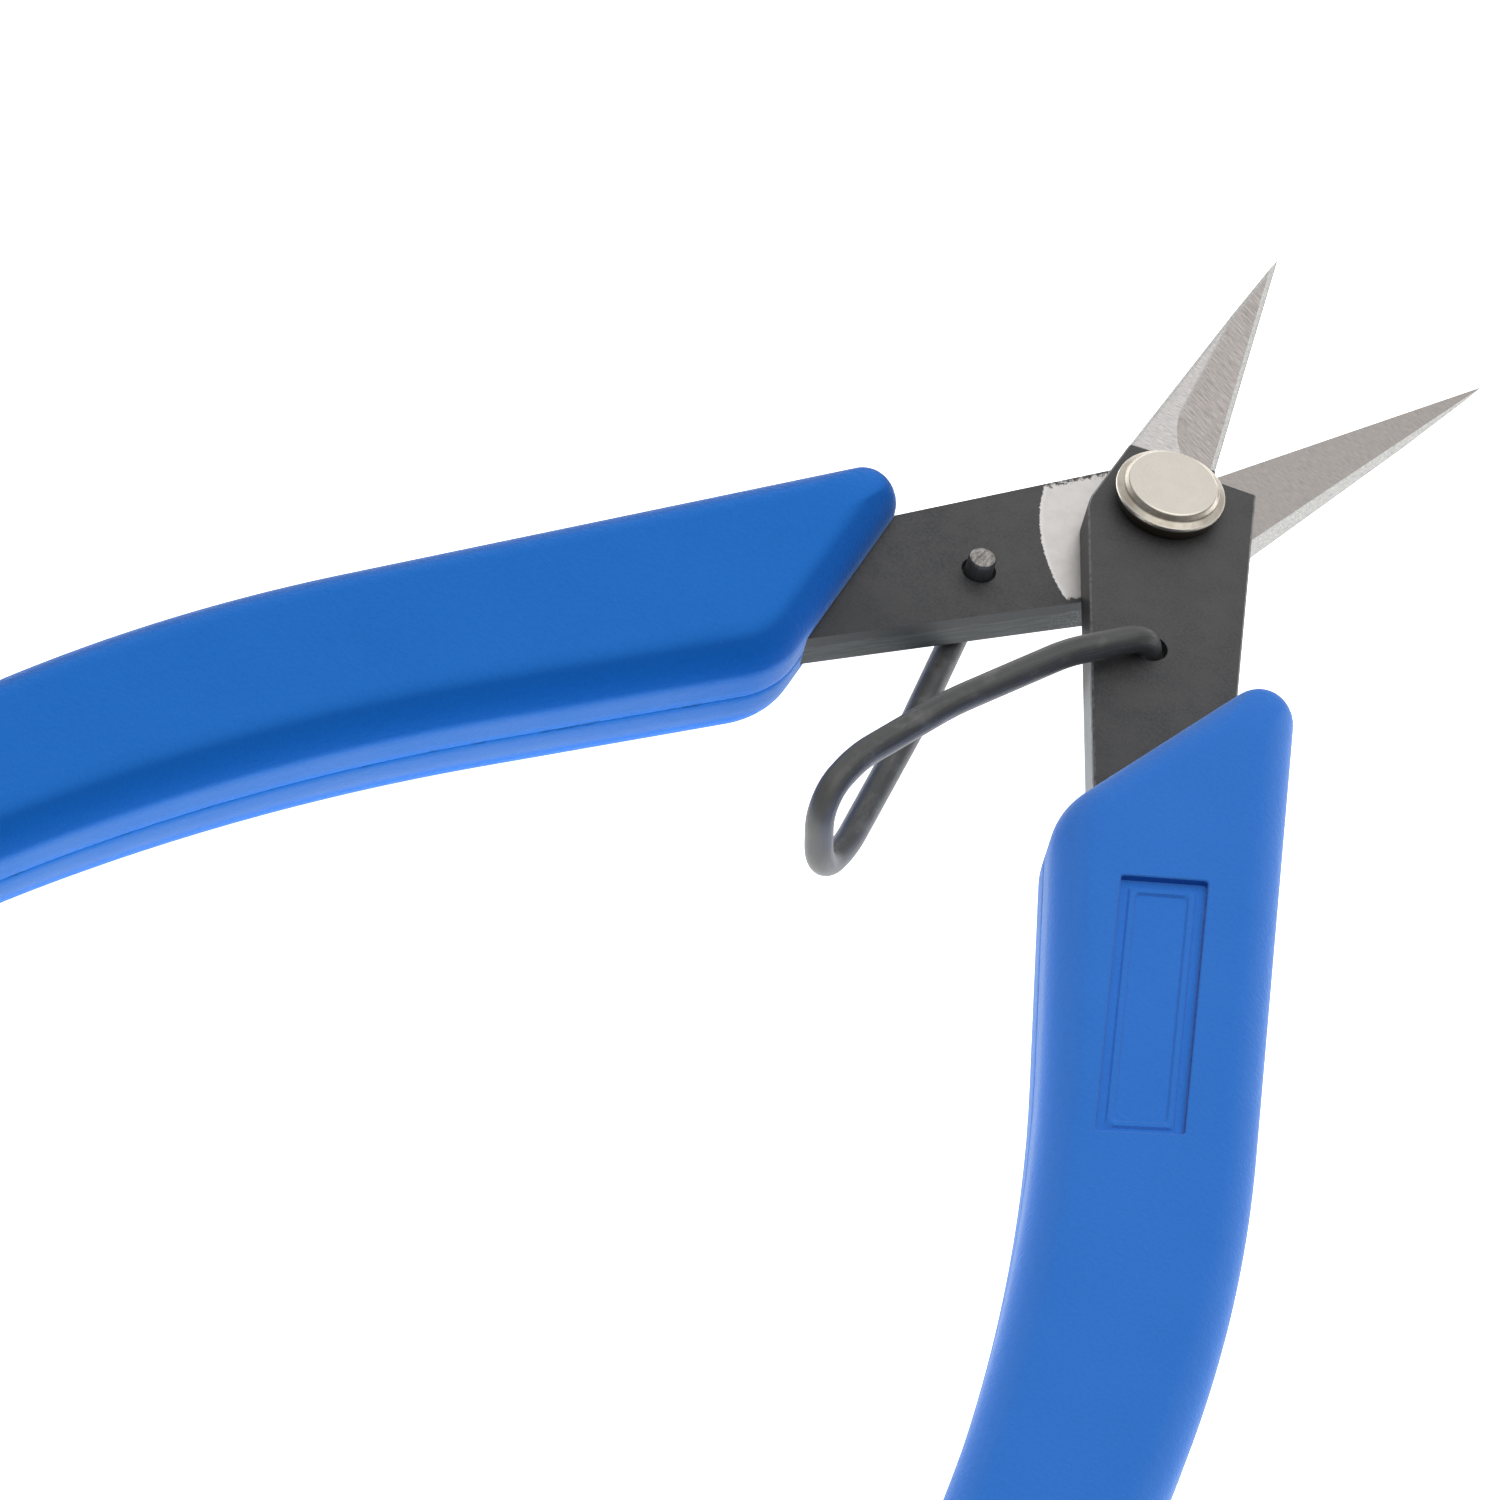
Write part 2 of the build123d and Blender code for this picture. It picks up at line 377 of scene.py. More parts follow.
def panel_loops():
    """Rings of the sunk panel: its softened rim, its wall, its floor and a low rail round it."""
    corners = [Vector(c) for c in panel_corners]
    top = (corners[0] + corners[1]) / 2
    bottom = (corners[2] + corners[3]) / 2
    axis = (bottom - top).normalized()
    length = (bottom - top).length
    loops = []
    for outset, share in panel_section:
        loop = []
        for place in panel_outline(outset):
            t = min(max((place - top).dot(axis) / length, 0.0), 1.0)
            depth = panel_depth + (panel_depth_far - panel_depth) * t
            loop.append((place.x, place.y, grip_mid_z + grip_half_thickness - share * depth))
        loops.append(loop)
    return loops


def make_grip(name, body, turned, with_panel):
    """One moulding: rings from back to front, two caps, and the sunk panel if it has one."""
    outline, in_mouth = grip_outline()
    if swept_area(outline) < 0:
        outline, in_mouth = outline[::-1], in_mouth[::-1]
    normals = outward_normals(outline)
    rings = grip_rings(in_mouth)
    count = len(outline)
    points, faces = [], []
    levels = [(ring, -1) for ring in rings[:0:-1]] + [(ring, 1) for ring in rings]
    for ring, side in levels:
        moved = inset_outline(outline, normals, [inset for inset, height in ring])
        for p, (inset, height) in zip(moved, ring):
            points.append((p.x, p.y, grip_mid_z + side * height))
    for k in range(len(levels) - 1):
        bridge(faces, k * count, (k + 1) * count, count)
    cap(points, faces, [(0, count)], False)
    top_loops = [((len(levels) - 1) * count, count)]
    if with_panel:
        loops = panel_loops()
        size = len(loops[0])
        first = len(points)
        for loop in loops:
            points += loop
        for k in range(len(loops) - 1):
            bridge(faces, first + k * size, first + (k + 1) * size, size)
        cap(points, faces, [(first + (len(loops) - 1) * size, size)], True)
        top_loops.append((first, size))
    cap(points, faces, top_loops, True)
    if turned:
        points = half_turned(points)
    return new_piece(name + "_moulding", points, faces, body, (name,))


# ---------------------------------------------------------------- pivot rivet

def make_rivet():
    """Turned rivet: flat head with a soft two-step shoulder, shank, and peened tail."""
    seat_z = front_face_z
    back_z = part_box("pivot_washer")[0].z / MM
    tail_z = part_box("pivot_rivet")[0].z / MM
    # Corners of the profile, each as (radius from the axis, z, rounding)
    corners = (
        (2.80, 0.0, 0.2), (3.03, -0.40, 0.3), (3.47, -0.62, 0.06), (3.50, -0.76, 0.05),
        (3.22, seat_z + 0.15, 0.1), (3.12, seat_z, 0.03), (shank_radius, seat_z, 0.05),
        (shank_radius, back_z, 0.05), (2.8, back_z, 0.04), (2.78, back_z - 0.3, 0.2),
        (2.1, tail_z, 0.35))
    route = [Vector((0.0, 0.0)), *[Vector(c[:2]) for c in corners], Vector((0.0, tail_z))]
    profile = [Vector((inner_ring, 0.0)), Vector((2 * inner_ring, 0.0))]
    for i, corner in enumerate(corners, 1):
        profile += rounded_corner(route[i - 1], route[i], route[i + 1], corner[2], rivet_corner_steps)
    profile.append(Vector((inner_ring, tail_z)))
    points, faces = [], []
    for r, z in profile:
        for k in range(rivet_around):
            turn = 2 * pi * k / rivet_around
            points.append((r * cos(turn), r * sin(turn), z))
    for i in range(len(profile) - 1):
        bridge(faces, (i + 1) * rivet_around, i * rivet_around, rivet_around)
    last = (len(profile) - 1) * rivet_around
    faces.append(tuple(range(rivet_around)))
    faces.append(tuple(range(last, last + rivet_around))[::-1])
    return new_piece("pivot_rivet_turned", points, faces, "front_half", ("pivot_rivet",))


# ---------------------------------------------------------------- return spring

def spring_line():
    """Centre line of the wire, from the front pin to the rear pin."""
    front_leg_z = front_face_z + leg_height
    rear_leg_z = rear_face_z - leg_height
    pin_x, pin_y = spring_hole[0] + pin_offset[0], spring_hole[1] + pin_offset[1]
    corners = (
        ((pin_x, pin_y, front_leg_z), 1.7),
        ((3.2, -16.7, front_leg_z + 0.1), 12.0),
        ((0.35, -25.4, front_leg_z - 0.05), 25.0),
        ((-1.3, -32.9, mating_z + 3.2), 10.0),
        ((-1.2, -37.0, mating_z + 2.75), 2.6),
        ((0.15, -37.25, mating_z - 2.75), 2.6),
        ((-0.25, -33.4, rear_leg_z), 10.0),
        ((-3.05, -22.0, rear_leg_z), 30.0),
        ((-pin_x, pin_y, rear_leg_z), 1.7),
    )
    start = Vector((pin_x, pin_y, mating_z - pin_stand_out))
    end = Vector((-pin_x, pin_y, mating_z + pin_stand_out))
    route = [start] + [Vector(c) for c, r in corners] + [end]
    line = [start]
    for i, (corner, radius) in enumerate(corners, 1):
        line += rounded_corner(route[i - 1], route[i], route[i + 1], radius, wire_corner_steps)
    line.append(end)
    return resampled(line, wire_spacing, closed=False)


def wire_rings(line, drawn_in=0.0):
    """Rings of points round the wire, a little smaller at its two sheared ends."""
    side = Vector((1, 0, 0))
    turns = [2 * pi * k / wire_around for k in range(wire_around)]
    last = len(line) - 1
    rings = []
    for i, centre in enumerate(line):
        ahead = (line[min(i + 1, last)] - line[max(i - 1, 0)]).normalized()
        side = (side - ahead * side.dot(ahead)).normalized()
        up = ahead.cross(side)
        radius = wire_radius - drawn_in - (sheared_edge if i in (0, last) else 0.0)
        rings.append([tuple(centre + side * (radius * cos(t)) + up * (radius * sin(t))) for t in turns])
    return rings


def wire_piece(name, rings, lengths):
    """One leg of the spring: a closed tube through its rings, with its length along the wire in its UV map.
    """
    points = [point for ring in rings for point in ring]
    places = [(k / wire_around, length) for length in lengths for k in range(wire_around)]
    faces = []
    last = (len(rings) - 1) * wire_around
    for first in range(0, last, wire_around):
        bridge(faces, first, first + wire_around, wire_around)
    faces.append(tuple(range(wire_around))[::-1])
    faces.append(tuple(range(last, last + wire_around)))
    leg = new_piece(name, points, faces, None)
    layer = leg.data.uv_layers.new(name="along_wire")
    for loop in leg.data.loops:
        layer.data[loop.index].uv = places[loop.vertex_index]
    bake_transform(leg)
    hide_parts("return_spring")
    return leg


def make_spring():
    """The wire in two legs, plugged into each other in the U bend. Each is half bent there."""
    line = spring_line()
    line.insert(1, line[0].lerp(line[1], sheared_edge_share))
    line.insert(-1, line[-1].lerp(line[-2], sheared_edge_share))
    lengths = [0.0]
    for before, point in zip(line, line[1:]):
        lengths.append(lengths[-1] + (point - before).length)
    in_bend = [i for i, point in enumerate(line) if point.y < bend_y]
    middle = min(in_bend, key=lambda i: abs(line[i].z - mating_z))
    rings = wire_rings(line)
    plug = wire_rings(line, plug_gap)
    to, past = middle + 1, middle + plug_rings
    front_leg = wire_piece(
        "return_spring_front_leg", rings[:to] + plug[middle:past], lengths[:to] + lengths[middle:past])
    past = middle - plug_rings
    rear_leg = wire_piece(
        "return_spring_rear_leg", plug[past:to] + rings[middle:], lengths[past:to] + lengths[middle:])
    return front_leg, rear_leg, lengths[-1]


# ---------------------------------------------------------------- materials

class Look:
    """A node material built round one Principled shader. Positions are in millimetres."""

    def __init__(self, name):
        self.material = bpy.data.materials.new(name)
        self.material.use_nodes = True
        self.tree = self.material.node_tree
        self.shader = self.tree.nodes["Principled BSDF"]

    def plug(self, socket, value):
        if isinstance(value, bpy.types.NodeSocket):
            self.tree.links.new(value, socket)
        else:
            socket.default_value = value

    def node(self, kind, inputs, **settings):
        made = self.tree.nodes.new(kind)
        for key, value in settings.items():
            setattr(made, key, value)
        for key, value in inputs.items():
            self.plug(made.inputs[key], value)
        return made

    def set(self, **values):
        """Sets the shader's inputs: base_color becomes Base Color, and so on."""
        for key, value in values.items():
            name = key.replace("_", " ").title().replace("Ior", "IOR")
            self.plug(self.shader.inputs[name], value)

    def math(self, operation, a, b=0.0, c=0.0):
        return self.node("ShaderNodeMath", {0: a, 1: b, 2: c}, operation=operation).outputs[0]

    def times(self, a, b):
        return self.math("MULTIPLY", a, b)

    def plus(self, a, b):
        return self.math("ADD", a, b)

    def minus(self, a, b):
        return self.math("SUBTRACT", a, b)

    def length(self, a, b):
        return self.math("SQRT", self.plus(self.times(a, a), self.times(b, b)))

    def vector(self, x, y, z):
        return self.node("ShaderNodeCombineXYZ", {0: x, 1: y, 2: z}).outputs[0]

    def place(self, turned=False):
        """x, y and z in millimetres in the frame of a front half."""
        sign = -1 if turned else 1
        spot = self.node("ShaderNodeTexCoord", {}).outputs["Object"]
        offset = (0.0, 0.0, 2 * mating_z if turned else 0.0)
        scaled = self.node(
            "ShaderNodeVectorMath",
            {0: spot, 1: (sign / MM, 1 / MM, sign / MM), 2: offset}, operation="MULTIPLY_ADD")
        split = self.node("ShaderNodeSeparateXYZ", {0: scaled.outputs[0]})
        return scaled.outputs[0], split.outputs[0], split.outputs[1], split.outputs[2]

    def upright(self):
        """1 on level faces, 0 on walls."""
        normal = self.node("ShaderNodeNewGeometry", {}).outputs["Normal"]
        tilt = self.node("ShaderNodeSeparateXYZ", {0: normal})
        return self.math("ABSOLUTE", tilt.outputs[2])

    def noise(self, place, scale, detail=2.0, roughness=0.5):
        return self.node("ShaderNodeTexNoise", {
            "Vector": place, "Scale": scale, "Detail": detail, "Roughness": roughness}).outputs["Fac"]

    def stretched_noise(self, place, scales, noise):
        stretched = self.node(
            "ShaderNodeVectorMath", {0: place, 1: scales}, operation="MULTIPLY").outputs[0]
        return self.noise(stretched, *noise)

    def step(self, value, low, high):
        """0 below low, 1 above high, or the other way round if low is above high."""
        flip = low > high
        made = self.node("ShaderNodeMapRange", {
            "Value": value, "From Min": min(low, high), "From Max": max(low, high),
            "To Min": 1.0 if flip else 0.0, "To Max": 0.0 if flip else 1.0},
            interpolation_type="SMOOTHSTEP")
        return made.outputs["Result"]

    def span(self, value, low, high):
        """Takes a 0 to 1 value to low to high."""
        return self.node("ShaderNodeMapRange", {
            "Value": value, "To Min": low, "To Max": high}, clamp=False).outputs["Result"]

    def mix(self, share, a, b):
        made = self.node("ShaderNodeMix", {}, data_type="RGBA")
        self.plug(made.inputs["Factor"], share)
        self.plug(made.inputs[6], (*a, 1.0) if isinstance(a, tuple) else a)
        self.plug(made.inputs[7], (*b, 1.0) if isinstance(b, tuple) else b)
        return made.outputs[2]

    def blend(self, share, a, b):
        made = self.node("ShaderNodeMix", {}, data_type="FLOAT")
        self.plug(made.inputs["Factor"], share)
        self.plug(made.inputs[2], a)
        self.plug(made.inputs[3], b)
        return made.outputs[0]

    def bump(self, height, distance, strength=1.0, below=None):
        inputs = {"Height": height, "Distance": distance * MM, "Strength": strength}
        if below is not None:
            inputs["Normal"] = below
        return self.node("ShaderNodeBump", inputs).outputs["Normal"]


# Finishes. Colours are linear red, green and blue. A noise is (scale per millimetre, detail,
# roughness). A pair for a step is (no effect, full effect): a distance in millimetres, a share of
# a noise, or how level the surface is, from 0 on walls to 1.
CONTRAST = (0.3, 0.7)
WALL_TILT = (0.3, 0.15)
LEVEL_TILT = (0.3, 0.45)
ROUNDED_TILT = (0.95, 0.85)

# ---------------------------------------------------------------- steel halves

oxide_dark = (0.018, 0.019, 0.021)
oxide_light = (0.066, 0.067, 0.070)
oxide_cloudy = (0.075, 0.073, 0.072)
oxide_worn = (0.085, 0.084, 0.084)
oxide_rubbed = (0.17, 0.17, 0.165)
sheared_dark = (0.010, 0.012, 0.011)
sheared_light = (0.026, 0.031, 0.029)
torn_dark = (0.016, 0.021, 0.019)
torn_light = (0.050, 0.059, 0.054)
torn_glint = (0.30, 0.32, 0.30)
front_wall_painted_shade = (0.008, 0.008, 0.008)
front_wall_bare = ((0.16, 0.18, 0.17), (0.34, 0.36, 0.345))
hollow_marks = ((0.30, 0.27, 0.255), (0.74, 0.685, 0.655))
hollow_mottle = (0.50, 0.47, 0.44)
spine_marks = ((0.49, 0.465, 0.45), (0.76, 0.74, 0.725))
burnished_and_highlight = ((0.42, 0.42, 0.41), (0.66, 0.66, 0.64))
heat_tint = (0.22, 0.17, 0.14)
spine_wall_marks = ((0.22, 0.22, 0.215), (0.40, 0.40, 0.385))
patch_marks = ((0.63, 0.605, 0.58), (0.69, 0.665, 0.645))
patch_rim = (0.78, 0.76, 0.75)
flat_marks = ((0.33, 0.305, 0.285), (0.48, 0.45, 0.425))
flat_mottle = (0.42, 0.39, 0.37)

oxide_grain_noise = (6.0, 4.0, 0.75)
oxide_cloud_noise = (0.45, 4.0, 0.65)
rub_noise = (2.2, 4.0, 0.6)
streak_noise = (1.0, 4.0, 0.6)
streak_stretch = (0.35, 0.35, 6.0)
speck_noise = (7.0, 3.0, 0.7)
torn_edge_noise = (0.8, 4.0, 0.7)
brush_noise = (7.5, 4.0, 0.85)
fine_brush_noise = (13.0, 3.0, 0.75)
mottle_noise = (1.1, 4.0, 0.6)
flat_arc_noise = (4.0, 4.0, 0.65)
inner_margin_noise = (2.0, 4.0, 0.65)
outer_margin_noise = (3.5, 4.0, 0.75)

# Places on a half. Heights are above the mating plane, and y and distances are in plan.
pivot = (0.0, 0.0)
painted_shade_tang_y = (-13.0, -24.0)
worn_round_pivot = (15.0, 9.0)
glint_round_pivot = (12.0, 6.0)
torn_height_front = (2.0, 1.9)
torn_height_rear = (0.72, 0.86)
bare_wall_y = (-14.5, -17.5)
brush_slope = radians(7)
brush_stretch = 0.12
grind_border = (-0.03, 0.01)
ridge_highlight_border = (0.015, 0.03)
hollow_starts = (0.05, 0.09)
spine_highlight_border = (0.24, 0.16)
spine_wall_border = (0.1, 0.05)
facet_softness = 0.03
burnished_tip = (2.2, 0.6)
tint_starts = (0.2, 0.24)
tint_ends = (0.36, 0.3)
flat_arc_centre = (-5.99, 3.28)
flat_arc_radius = 14.4
flat_arc_softness = 0.04
flat_rim = (0.3, 0.08)
flat_inner_margin = (0.32, 0.46)
flat_outer_margin = (0.1, 0.35)
blade_flat_starts = (1.0, 3.0)
mating_face = (0.10, 0.04)


def rightward(look, x, y, angle):
    """The x of a point in axes turned anticlockwise by an angle."""
    return look.plus(look.times(x, cos(angle)), look.times(y, sin(angle)))


def upward(look, x, y, angle):
    """The y of a point in axes turned anticlockwise by an angle."""
    return look.minus(look.times(y, cos(angle)), look.times(x, sin(angle)))


def from_line(look, edge, x, y):
    """How far a point lies beyond a straight edge of the plan, on the side its normal points to."""
    return look.minus(rightward(look, x, y, radians(edge[0])), edge[1])


def from_point(look, centre, x, y):
    """How far a point lies from another in plan."""
    return look.length(look.minus(x, centre[0]), look.minus(y, centre[1]))


class SteelLook(Look):
    """Black-coated half with a ground, bare blade and a bare flat where the halves slide."""

    def __init__(self, name, turned):
        super().__init__(name)
        self.turned = turned
        self.spot, self.x, self.y, z = self.place(turned)
        self.u = upward(self, self.x, self.y, radians(cutting_edge[0]))
        self.v = self.times(from_line(self, cutting_edge, self.x, self.y), -1.0)
        self.from_spine = from_line(self, blade_spine, self.x, self.y)
        self.lift = self.minus(z, mating_z)
        self.level = self.upright()

    def wavering(self, noise, reach):
        """Noise from minus reach to reach, to make an edge ragged."""
        return self.span(self.noise(self.spot, *noise), -reach, reach)

    def oxide(self):
        """Fine grain and faint cloudiness, rubbed paler on the broken edges, with painted shade down the
        tang.
        """
        self.grain = self.noise(self.spot, *oxide_grain_noise)
        cloud = self.noise(self.spot, *oxide_cloud_noise)
        coat = self.mix(self.step(self.grain, 0.32, 0.7), oxide_dark, oxide_light)
        coat = self.mix(self.span(self.step(cloud, *CONTRAST), 0.0, 0.55), coat, oxide_cloudy)
        # Painted shade: the coat darkens down the tang towards the grips, more on the rear half.
        painted_shade_down = self.step(self.y, *painted_shade_tang_y)
        coat = self.mix(self.times(painted_shade_down, 0.7 if self.turned else 0.35), coat, oxide_dark)
        worn = self.step(from_point(self, pivot, self.x, self.y), *worn_round_pivot)
        coat = self.mix(self.times(worn, 0.3), coat, oxide_worn)
        broken_edge = self.times(
            self.step(self.level, *LEVEL_TILT), self.step(self.level, *ROUNDED_TILT))
        rub = self.step(self.noise(self.spot, *rub_noise), 0.35, 0.6)
        return self.mix(self.times(broken_edge, self.span(rub, 0.25, 0.9)), coat, oxide_rubbed)

    def blanked_walls(self, coat):
        """A dark sheared band and a paler torn band, with streaks that run along the walls; on the front
        half the torn band is painted shade above bare metal low down.
        """
        self.wall = self.step(self.level, *WALL_TILT)
        streak = self.stretched_noise(self.spot, streak_stretch, streak_noise)
        self.speck = self.noise(self.spot, *speck_noise)
        ragged = self.plus(self.lift, self.wavering(torn_edge_noise, 0.35))
        torn = self.step(ragged, *(torn_height_rear if self.turned else torn_height_front))
        by_pivot = self.step(from_point(self, pivot, self.x, self.y), *glint_round_pivot)
        sheared = self.mix(streak, sheared_dark, sheared_light)
        tear = self.mix(self.step(streak, *CONTRAST), torn_dark, torn_light)
        tear = self.mix(self.times(self.step(self.speck, 0.5, 0.7), by_pivot), tear, torn_glint)
        # On the front half the torn band is painted shade, near black, giving way to bare metal low down
        # the wall.
        if not self.turned:
            low_down = self.step(self.plus(self.y, self.span(self.speck, -0.8, 0.8)), *bare_wall_y)
            tear = self.mix(low_down, front_wall_painted_shade, self.mix(streak, *front_wall_bare))
        return self.mix(self.wall, coat, self.mix(torn, sheared, tear))

    def ground_blade(self):
        """Brush marks across the edge, on a slope of their own, a burnished edge facet and tip, and painted
        highlights along the grind's ridge and the spine.
        """
        run = rightward(self, self.x, self.y, brush_slope)
        rise = upward(self, self.x, self.y, brush_slope)
        marks = self.vector(rise, self.times(run, brush_stretch), 0.0)
        self.brush = self.noise(marks, *brush_noise)
        self.fine = self.noise(marks, *fine_brush_noise)
        self.mottle = self.noise(self.spot, *mottle_noise)
        hollow = self.mix(self.step(self.brush, *CONTRAST), *hollow_marks)
        hollow = self.mix(self.span(self.mottle, 0.0, 0.5), hollow, hollow_mottle)
        spine = self.mix(self.step(self.fine, *CONTRAST), *spine_marks)
        # The pale colour is burnished metal on the edge facet and the tip, and painted highlight on the
        # ridge and the spine strip.
        pale = self.mix(self.step(self.speck, *CONTRAST), *burnished_and_highlight)

        start_thickness = plate_thickness - grind_step
        taper = (start_thickness - tip_thickness) / (blade_reach - grind_start)
        surface = self.minus(start_thickness, self.times(self.minus(self.u, grind_start), taper))
        under_spine = self.minus(surface, self.lift)
        # Painted highlight: a pale line along the ridge where the hollow grind starts.
        ground = self.mix(self.step(under_spine, *ridge_highlight_border), spine, pale)
        ground = self.mix(self.step(under_spine, *hollow_starts), ground, hollow)
        # Painted highlight: a pale strip along the spine.
        ground = self.mix(self.step(self.from_spine, *spine_highlight_border), ground, pale)
        on_facet = self.step(self.v, edge_facet + facet_softness, edge_facet - facet_softness)
        ground = self.mix(on_facet, ground, pale)
        at_tip = self.step(self.u, *[blade_reach - back for back in burnished_tip])
        ground = self.mix(at_tip, ground, pale)
        in_tint = self.times(
            self.step(self.u, *[grind_start + ahead for ahead in tint_starts]),
            self.step(self.u, *[grind_start + ahead for ahead in tint_ends]))
        ground = self.mix(in_tint, ground, heat_tint)
        spine_wall = self.times(self.wall, self.step(self.from_spine, *spine_wall_border))
        wall_marks = self.mix(self.step(self.speck, 0.35, 0.65), *spine_wall_marks)
        return self.mix(spine_wall, ground, wall_marks)

    def sliding_flat(self):
        """The inner face: bare out to an arc on the tang, short of the tang's inner edge."""
        reach = self.plus(from_point(self, flat_arc_centre, self.x, self.y),
                          self.wavering(flat_arc_noise, 0.22))
        inner_margin = self.plus(from_line(self, tang_inner, self.x, self.y),
                                 self.wavering(inner_margin_noise, 0.3))
        outer_margin = self.plus(self.times(from_line(self, tang_outer, self.x, self.y), -1.0),
                                 self.wavering(outer_margin_noise, 0.9))
        in_patch = self.step(
            reach, flat_arc_radius + flat_arc_softness, flat_arc_radius - flat_arc_softness)
        in_patch = self.times(in_patch, self.step(inner_margin, *flat_inner_margin))
        in_patch = self.times(in_patch, self.step(outer_margin, *flat_outer_margin))
        rim = self.step(reach, *[flat_arc_radius - inside for inside in flat_rim])
        on_blade = self.step(self.u, *blade_flat_starts)
        inner = self.times(self.step(self.lift, *mating_face), self.step(self.level, *LEVEL_TILT))
        bare = self.times(inner, self.math("MAXIMUM", in_patch, on_blade))
        patch = self.mix(self.step(self.mottle, *CONTRAST), *patch_marks)
        patch = self.mix(self.times(rim, 0.6), patch, patch_rim)
        flat = self.mix(self.step(self.fine, *CONTRAST), *flat_marks)
        flat = self.mix(self.span(self.mottle, 0.0, 0.4), flat, flat_mottle)
        return inner, bare, self.mix(on_blade, patch, flat)


def steel_look(name, turned):
    """The four finishes laid over one another: coat, then grind, then the inner face."""
    look = SteelLook(name, turned)
    coat = look.blanked_walls(look.oxide())
    ground = look.ground_blade()
    inner, bare_flat, flat = look.sliding_flat()
    on_grind = look.step(look.u, *[grind_start + ahead for ahead in grind_border])
    colour = look.mix(on_grind, coat, ground)
    colour = look.mix(inner, colour, look.mix(bare_flat, coat, flat))
    outer_bare = look.times(on_grind, look.minus(1.0, inner))
    bare = look.math("MAXIMUM", bare_flat, outer_bare)
    look.set(base_color=colour, metallic=bare)
    look.set(roughness=look.blend(bare, look.span(look.grain, 0.42, 0.6), look.span(look.brush, 0.34, 0.5)))
    relief = look.blend(bare, look.grain, look.times(look.brush, 0.8))
    look.set(normal=look.bump(relief, 0.02, 0.6))
    return look.material


# ---------------------------------------------------------------- rivet and washer

nickel_dark = (0.67, 0.63, 0.555)
nickel_light = (0.80, 0.755, 0.67)
nickel_ring = (0.50, 0.46, 0.40)
nickel_painted_reflection = (0.40, 0.35, 0.28)
nickel_undercut_shade = (0.16, 0.135, 0.10)
zinc_marks = ((0.45, 0.46, 0.47), (0.62, 0.63, 0.63))

turning_noise = (9.0, 3.0, 0.7)
nickel_cloud_noise = (0.8, 3.0, 0.6)
zinc_cloud_noise = (1.5, 4.0, 0.6)
zinc_grain_noise = (12.0, 2.0, 0.6)

# Distances from the rivet's axis, and the height of its undercut, below which it gets painted shade
shoulder_starts = (2.6, 2.8)
reflection_starts = (2.78, 2.92)
reflection_ends = (3.46, 3.36)
undercut_shade_z = (-0.80, -0.95)


def nickel_look():
    """Satin nickel with fine turning rings, a painted dark reflection on the shoulder and painted shade in
    the undercut.
    """
    look = Look("rivet_nickel")
    place, x, y, z = look.place()
    reach = look.length(x, y)
    rings = look.noise(look.vector(reach, 0.0, z), *turning_noise)
    cloud = look.noise(place, *nickel_cloud_noise)
    colour = look.mix(cloud, nickel_dark, nickel_light)
    colour = look.mix(look.span(rings, 0.0, 0.35), colour, nickel_ring)
    shoulder = look.step(reach, *shoulder_starts)
    # Painted reflection: a dull brown on the shoulder, patchy with the cloud noise.
    shoulder_reflection = look.times(look.step(reach, *reflection_starts), look.step(reach, *reflection_ends))
    shoulder_reflection = look.times(shoulder_reflection, look.span(look.step(cloud, 0.35, 0.65), 0.35, 0.8))
    colour = look.mix(shoulder_reflection, colour, nickel_painted_reflection)
    # Painted shade under the head's rim.
    colour = look.mix(look.step(z, *undercut_shade_z), colour, nickel_undercut_shade)
    look.set(base_color=colour, metallic=1.0)
    look.set(roughness=look.plus(look.span(rings, 0.2, 0.36), look.times(shoulder, 0.06)))
    look.set(normal=look.bump(rings, 0.012, 0.5))
    return look.material


def washer_look():
    """Bright zinc washer, a little cloudy."""
    look = Look("washer_zinc")
    place, x, y, z = look.place()
    cloud = look.noise(place, *zinc_cloud_noise)
    grain = look.noise(place, *zinc_grain_noise)
    look.set(base_color=look.mix(cloud, *zinc_marks), metallic=1.0,
             roughness=look.span(grain, 0.3, 0.5), normal=look.bump(grain, 0.01, 0.5))
    return look.material


# ---------------------------------------------------------------- spring wire

drawn_marks = ((0.048, 0.049, 0.049), (0.112, 0.114, 0.112))
rubbed_wire = (0.15, 0.15, 0.145)
worn_bend = (0.14, 0.141, 0.130)
cut_end_marks = ((0.16, 0.15, 0.14), (0.42, 0.40, 0.38))

# Each as (stretch, noise). The stretch is round and along the wire, and for the tears in space.
drawing_lines = ((60.0, 0.25, 0.0), (1.0, 3.0, 0.6))
rubbed_spots = ((3.0, 0.35, 0.0), (1.0, 4.0, 0.6))
wire_grain = ((26.0, 5.0, 0.0), (1.0, 2.0, 0.6))
end_tears = ((5.0, 1.6, 1.0), (1.0, 4.0, 0.7))
cut_end = (0.05, 0.02)
worn_bend_y = (bend_y, -37.5)


